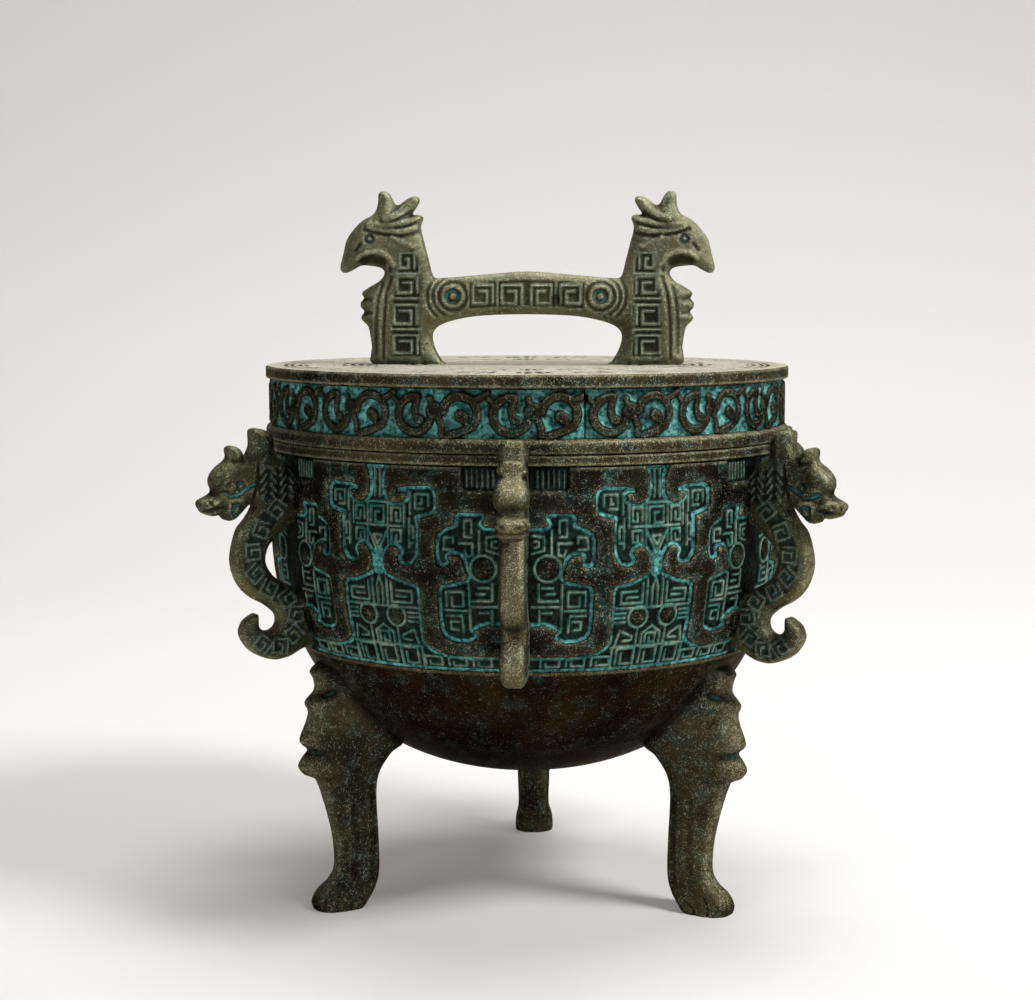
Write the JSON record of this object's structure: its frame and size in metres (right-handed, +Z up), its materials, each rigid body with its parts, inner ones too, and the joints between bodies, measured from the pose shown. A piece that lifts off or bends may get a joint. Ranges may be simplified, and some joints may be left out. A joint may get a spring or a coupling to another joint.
{
  "type": "bronze ding vessel",
  "caption": "Covered round cast-bronze ding on beast-mask tripod legs, with dragon flange handles, a mask-panelled bowl, and a flat lid with a bridge handle ending in bird heads.",
  "frame": {"origin": "on the ground, under the axis of the bowl and in the middle of the bounding box's bottom", "axes": "+Z up; X along the lid's bridge handle; -Y to the front, where one dragon handle faces the viewer and a pair of legs stands; +Y towards the single leg at the back"},
  "size_m": [0.2604, 0.2952, 0.2962],
  "materials": {
    "bronze_dark": "dark brown cast bronze with a matt patina and turquoise in the recesses",
    "bronze_green": "dark cast bronze with a turquoise ground behind the scrolls",
    "bronze_worn": "olive-grey cast bronze, rubbed lighter on its high edges"
  },
  "bodies": {
    "root": {"vessel": "bronze_dark", "lid": "bronze_green", "lid_handle": "bronze_worn", "dragon_1": "bronze_worn", "dragon_2": "bronze_worn", "dragon_3": "bronze_worn", "dragon_4": "bronze_worn", "dragon_5": "bronze_worn", "dragon_6": "bronze_worn"}
  },
  "joints": []
}
